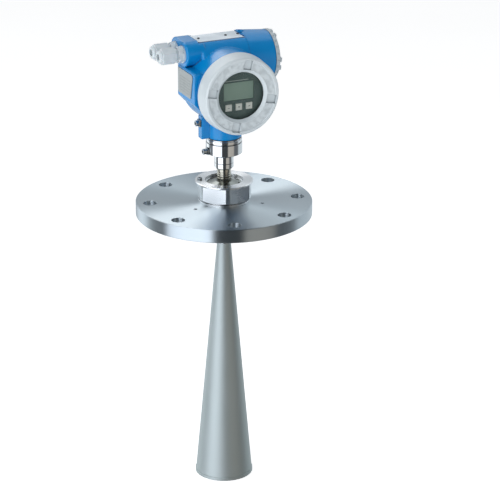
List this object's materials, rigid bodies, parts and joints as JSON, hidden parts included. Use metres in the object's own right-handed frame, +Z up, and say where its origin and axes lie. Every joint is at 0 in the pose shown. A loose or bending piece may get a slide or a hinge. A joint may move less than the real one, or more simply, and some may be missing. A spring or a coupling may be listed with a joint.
{
  "type": "radar level transmitter",
  "caption": "Radar level transmitter: flanged horn antenna, hexagonal process connection, slim neck and a turning two-chamber housing with a windowed display cover and two cable glands.",
  "frame": {"origin": "centre of the flange's sealing face, on the axis of the bolt circle", "axes": "+Z up along the neck, horn below; -Y out of the display window; +X out of the terminal cover"},
  "size_m": [0.285, 0.285, 0.7499],
  "materials": {
    "flange_steel": "turned stainless steel, satin",
    "polished_steel": "machined stainless steel, bright",
    "blasted_steel": "bead-blasted stainless steel, matt",
    "screw_steel": "plain stainless steel",
    "blue_paint": "semi-gloss powder coat on die-cast aluminium",
    "grey_paint": "light grey powder coat on die-cast aluminium",
    "plate_metal": "bare metal plate, satin",
    "light_plastic": "moulded light grey plastic",
    "case_plastic": "moulded dark green-grey plastic",
    "black_plastic": "moulded black plastic",
    "key_plastic": "pale moulded keys",
    "lcd_glass": "liquid crystal panel, switched off",
    "board": "glass-fibre circuit board",
    "window_glass": "clear toughened glass",
    "rubber_seal": "black rubber",
    "ptfe": "white fluoropolymer"
  },
  "bodies": {
    "process_connection": {"flange": "flange_steel", "hex_connection": "polished_steel", "clamp_ring": "polished_steel", "lock_pin": "screw_steel", "horn_root": "polished_steel", "horn_antenna": "blasted_steel", "antenna_window": "ptfe", "neck_tube": "polished_steel", "neck_sleeve": "polished_steel", "neck_oring": "rubber_seal"},
    "head": {"housing": "blue_paint", "neck_adapter": "polished_steel", "adapter_seal": "rubber_seal", "lock_screw": "screw_steel", "lock_washer": "screw_steel", "earth_screw": "screw_steel", "earth_clamp": "screw_steel", "rf_module": "plate_metal", "electronics_module": "black_plastic", "display_holder": "black_plastic", "display_case": "case_plastic", "display_board": "board", "lcd": "lcd_glass", "top_plate": "plate_metal", "top_plate_screws": "screw_steel", "side_plate": "plate_metal", "terminal_block": "light_plastic", "terminal_screws": "screw_steel", "inner_earth_screw": "screw_steel", "gland_body_front": "light_plastic", "gland_body_rear": "light_plastic"},
    "display_cover_ring": {"display_cover_seal": "rubber_seal"},
    "display_cover_body": {"display_cover": "grey_paint", "display_glass": "window_glass", "glass_retainer": "black_plastic"},
    "terminal_cover_ring": {"terminal_cover_seal": "rubber_seal"},
    "terminal_cover_body": {"terminal_cover": "grey_paint"},
    "key_left_body": {"key_left": "key_plastic"},
    "key_middle_body": {"key_middle": "key_plastic"},
    "key_right_body": {"key_right": "key_plastic"},
    "gland_seal_front_body": {"gland_seal_front": "rubber_seal"},
    "gland_nut_front_body": {"gland_nut_front": "light_plastic"},
    "gland_seal_rear_body": {"gland_seal_rear": "rubber_seal"},
    "gland_nut_rear_body": {"gland_nut_rear": "light_plastic"}
  },
  "joints": [
    {"name": "head_turn", "type": "hinge", "parent": "process_connection", "child": "head", "pos_m": [0, 0, 0.115], "axis": [0, 0, 1], "range_deg": [-175, 175]},
    {"name": "display_cover_advance", "type": "slide", "parent": "head", "child": "display_cover_ring", "axis": [0, -1, 0], "range_m": [0, 0.0081]},
    {"name": "display_cover_turn", "type": "hinge", "parent": "display_cover_ring", "child": "display_cover_body", "pos_m": [0, -0.05, 0.2159], "axis": [0, -1, 0], "range_deg": [0, 1440]},
    {"name": "terminal_cover_advance", "type": "slide", "parent": "head", "child": "terminal_cover_ring", "axis": [1, 0, 0], "range_m": [0, 0.0081]},
    {"name": "terminal_cover_turn", "type": "hinge", "parent": "terminal_cover_ring", "child": "terminal_cover_body", "pos_m": [0.087, 0.03, 0.2479], "axis": [1, 0, 0], "range_deg": [0, 1440]},
    {"name": "key_left_press", "type": "slide", "parent": "head", "child": "key_left_body", "axis": [0, 1, 0], "range_m": [0, 0.0008], "stiffness_N_per_m": 400, "springref_m": -0.001},
    {"name": "key_middle_press", "type": "slide", "parent": "head", "child": "key_middle_body", "axis": [0, 1, 0], "range_m": [0, 0.0008], "stiffness_N_per_m": 400, "springref_m": -0.001},
    {"name": "key_right_press", "type": "slide", "parent": "head", "child": "key_right_body", "axis": [0, 1, 0], "range_m": [0, 0.0008], "stiffness_N_per_m": 400, "springref_m": -0.001},
    {"name": "gland_front_advance", "type": "slide", "parent": "head", "child": "gland_seal_front_body", "axis": [-1, 0, 0], "range_m": [0, 0.0061]},
    {"name": "gland_front_turn", "type": "hinge", "parent": "gland_seal_front_body", "child": "gland_nut_front_body", "pos_m": [-0.08, 0.01575, 0.2689], "axis": [-1, 0, 0], "range_deg": [0, 1440]},
    {"name": "gland_rear_advance", "type": "slide", "parent": "head", "child": "gland_seal_rear_body", "axis": [-1, 0, 0], "range_m": [0, 0.0061]},
    {"name": "gland_rear_turn", "type": "hinge", "parent": "gland_seal_rear_body", "child": "gland_nut_rear_body", "pos_m": [-0.08, 0.04425, 0.2689], "axis": [-1, 0, 0], "range_deg": [0, 1440]}
  ],
  "couplings": [
    {"joint": "display_cover_advance", "follows": "display_cover_turn", "m_per_rad": 0.00031831},
    {"joint": "terminal_cover_advance", "follows": "terminal_cover_turn", "m_per_rad": 0.00031831},
    {"joint": "gland_front_advance", "follows": "gland_front_turn", "m_per_rad": 0.00023873},
    {"joint": "gland_rear_advance", "follows": "gland_rear_turn", "m_per_rad": 0.00023873}
  ]
}
